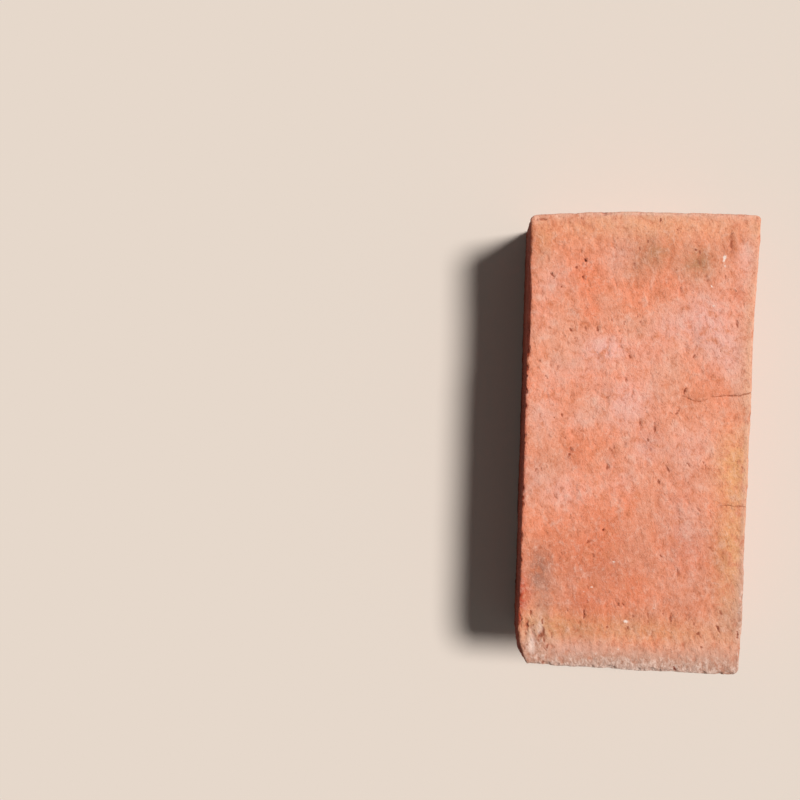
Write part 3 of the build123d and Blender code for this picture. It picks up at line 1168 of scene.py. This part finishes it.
    def discolour(self) -> None:
        """Lays the sides' deeper tone, and the stains that show on the upper bed.

        The deeper tone grows as a face turns away from the sky, to 1 upright and 0.65 on the lower bed; on
        the sides it is partly painted shade. A wave varies it, it is weaker within a few millimetres of the
        upper bed, and the left side adds painted shade of its own by the square of how far a face looks
        left. Stains also fade down the sides, and the long narrow bands of bloom, dust and chalk along the
        arrises are partly painted highlights. Dust hides the fresh clay under it.
        """
        lower, usual, uneven, faded, within, left, hidden = 0.35, 0.9, 0.2, 0.3, 2.5, 0.4, 0.85
        soak = 2.0  # how much further than its half width a stain reaches down
        x, y, z = self.sharp.T
        below = self.high[2] - z
        bed = self.normal[:, 2]
        deep = np.clip(1 - np.maximum(bed, 0) - lower * np.maximum(-bed, 0), 0, 1)
        deep *= np.clip(usual + uneven * self.waves(Wave.BURN) - faded * np.exp(-below / within), 0, 1)
        # the left side's extra is painted shade
        self.marks[Mark.DEEP] = deep + left * np.maximum(-self.normal[:, 0], 0) ** 2
        for mark, stains in self.stains:
            for stain in stains:
                self.marks[mark] += stain.at(x, y, below / (stain.width + soak))
        self.marks[Mark.FRESH] *= 1 - hidden * rise(self.marks[Mark.DUST], 0, 1)

    def shape(self) -> None:
        """Wears the block, from its largest forms to its finest."""
        self.round_off()
        self.warp()
        self.wear_corner()
        self.spall()
        self.chip_off(self.placed_chips() + self.random_chips())
        self.ripple = self.waves(Wave.RIM)
        depth = self.roughen()
        self.press(depth, Side.UPPER_BED, self.holes)
        for scatter in self.scatters:
            self.press(depth, scatter.side, self.scattered(scatter))
        self.crack_open(depth)
        self.place -= self.normal * depth[:, None]
        self.place[:, 2] = np.maximum(self.place[:, 2], self.low[2])

    def mesh(self) -> bpy.types.Mesh:
        """Makes the net's mesh, with the marks at its points.

        Returns:
            The mesh, in metres.
        """
        mesh = bpy.data.meshes.new("brick_net")
        quads = self.net.quads()
        mesh.vertices.add(len(self.place))
        mesh.vertices.foreach_set("co", (self.place * MM).astype(np.float32).ravel())
        mesh.loops.add(quads.size)
        mesh.loops.foreach_set("vertex_index", quads.astype(np.int32).ravel())
        mesh.polygons.add(len(quads))
        mesh.polygons.foreach_set("loop_start", np.arange(0, quads.size, 4, dtype=np.int32))
        mesh.update(calc_edges=True)
        for mark, values in self.marks.items():
            layer = mesh.attributes.new(mark.value, "FLOAT", "POINT")
            layer.data.foreach_set("value", np.clip(values, 0, 2).astype(np.float32))
        return mesh

    def thin(self, piece: bpy.types.Object) -> None:
        """Merges the net's triangles where it is smooth, down to the brick's most faces.

        The cracks, the white specks and the painted highlights along the arrises keep all their points.

        Args:
            piece: The piece, whose mesh is replaced.
        """
        triangles = 2 * len(piece.data.polygons)
        if triangles <= self.most_faces:
            return
        cracked, chalk_and_highlight_level = 0.05, 0.15
        fine = (self.marks[Mark.CRACK_SHADE] > cracked) | (self.marks[Mark.CHALK_AND_HIGHLIGHT] > chalk_and_highlight_level)
        kept = piece.vertex_groups.new(name="kept")
        kept.add(np.flatnonzero(fine).tolist(), 1.0, "REPLACE")
        thinner = piece.modifiers.new("thinner", "DECIMATE")
        thinner.ratio = self.most_faces / triangles
        thinner.vertex_group = kept.name
        thinner.invert_vertex_group = True
        bpy.context.view_layer.update()
        ready = piece.evaluated_get(bpy.context.evaluated_depsgraph_get())
        piece.data = bpy.data.meshes.new_from_object(ready)
        piece.modifiers.clear()
        piece.vertex_groups.clear()

    def lay_out(self, mesh: bpy.types.Mesh) -> None:
        """Gives the mesh its flat map, one chart for each side of the brick.

        Each face goes to the side whose plane its centre is nearest to, and is laid flat as seen there.

        Args:
            mesh: The finished mesh.
        """
        corners = read(mesh.loops, "vertex_index", 1, np.int32)
        points = read(mesh.vertices, "co", 3, np.float32).reshape(-1, 3)[corners] / MM - self.low
        centres = read(mesh.polygons, "center", 3, np.float32).reshape(-1, 3) / MM
        sizes = read(mesh.polygons, "loop_total", 1, np.int32)
        ends = np.stack([centres - self.low, self.high - centres])
        gaps = np.stack([ends[chart.side.end, :, chart.side.axis] for chart in self.charts])
        chosen = np.repeat(gaps.argmin(axis=0), sizes)
        places = np.zeros((len(corners), 2), np.float32)
        for number, chart in enumerate(self.charts):
            own = chosen == number
            flat = points[own][:, [chart.across, chart.up]]
            places[own] = chart.corner + flat * chart.scale
        mesh.uv_layers.new(name="OFBake").data.foreach_set("uv", places.ravel())

    def build(self) -> bpy.types.Object:
        """Makes the brick, gives it its map and its finish, and puts it in the frame.

        Returns:
            The finished piece.
        """
        self.shape()
        self.discolour()
        piece = put("brick_body", self.mesh())
        self.thin(piece)
        piece.data.name = "brick_body"
        self.lay_out(piece.data)
        piece.data.shade_smooth()
        piece.data.materials.append(self.finish.material())
        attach(piece, "root")
        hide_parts("brick")
        return piece


@dataclass(frozen=True)
class Studio:
    """A plain floor, plain soft light, and the camera."""

    floor_colour: str = "e6d8cb"
    floor_reach: float = 5.0  # metres from the middle to each edge
    sky: float = 0.1  # even light from all round, as a share of full light
    sun_from: tuple[float, float, float] = (0.5, 0.2, 0.84)
    sun_angle: float = 16.0  # degrees that the soft key light spans
    eye: tuple[float, float, float] = (-70.66, 50.03, 483.8)  # millimetres
    right: tuple[float, float, float] = (0.9944, 0.0206, -0.1032)
    up: tuple[float, float, float] = (-0.028, 0.9971, -0.071)
    sensor: float = 36.0
    lens: float = 39.15
    nearest: float = 0.01  # metres from the eye to the nearest thing that it can see

    def floor(self) -> bpy.types.Object:
        """Makes the floor, which is matt pale paper.

        Returns:
            The floor.
        """
        r = self.floor_reach
        mesh = bpy.data.meshes.new("floor")
        mesh.from_pydata([(-r, -r, 0), (r, -r, 0), (r, r, 0), (-r, r, 0)], [], [(0, 1, 2, 3)])
        paper = bpy.data.materials.new("matt_paper")
        tree = emptied(paper)
        shader = add(tree, "ShaderNodeBsdfDiffuse", {"Color": linear(self.floor_colour)})
        add(tree, "ShaderNodeOutputMaterial", {"Surface": shader})
        mesh.materials.append(paper)
        floor = put("floor", mesh)
        return floor

    def light(self) -> None:
        """Lights the scene so that a level white surface gets as much light as it would send back.

        The even light gives its own share, and the key gives the rest: its strength times its height is
        pi times that rest.
        """
        world = bpy.data.worlds.new("studio")
        bpy.context.scene.world = world
        tree = emptied(world)
        glow = add(tree, "ShaderNodeBackground", {"Color": linear("ffffff"), "Strength": self.sky})
        backdrop = add(tree, "ShaderNodeBackground", {"Color": linear(self.floor_colour), "Strength": 1.0})
        seen = add(tree, "ShaderNodeLightPath", output="Is Camera Ray")
        shown = add(tree, "ShaderNodeMixShader", {0: seen, 1: glow, 2: backdrop})
        add(tree, "ShaderNodeOutputWorld", {"Surface": shown})
        way = Vector(self.sun_from).normalized()
        sun = bpy.data.lights.new("key", "SUN")
        sun.angle = math.radians(self.sun_angle)
        sun.energy = math.pi * (1 - self.sky) / way.z
        lamp = put("key", sun)
        lamp.rotation_mode = "QUATERNION"
        lamp.rotation_quaternion = way.to_track_quat("Z", "Y")

    def camera(self) -> None:
        """Puts the camera over the brick's left, looking down on its upper bed."""
        lens = bpy.data.cameras.new("camera")
        lens.sensor_width = self.sensor
        lens.lens = self.lens
        lens.clip_start = self.nearest
        eye = put("camera", lens)
        right = Vector(self.right).normalized()
        back = right.cross(Vector(self.up)).normalized()
        turn = Matrix((right, back.cross(right), back)).transposed().to_4x4()
        eye.matrix_world = Matrix.Translation(Vector(self.eye) * MM) @ turn
        bpy.context.scene.camera = eye

    def build(self) -> None:
        """Makes the floor, the light and the camera."""
        floor = self.floor()
        log.info("%s: %d faces", floor.name, len(floor.data.polygons))
        self.light()
        self.camera()


def main() -> None:
    """Builds the dressed brick and its studio."""
    logging.basicConfig(level=logging.INFO, format="%(name)s: %(message)s")
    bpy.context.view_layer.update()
    low, high = (np.array(corner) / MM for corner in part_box("brick"))
    brick = ClayBrick(low.round(3), high.round(3))
    piece = brick.build()
    log.info("%s: %d points, %d faces", piece.name, len(piece.data.vertices), len(piece.data.polygons))
    Studio().build()
    bpy.context.scene.view_settings.view_transform = "Standard"


if __name__ == "__main__":
    main()
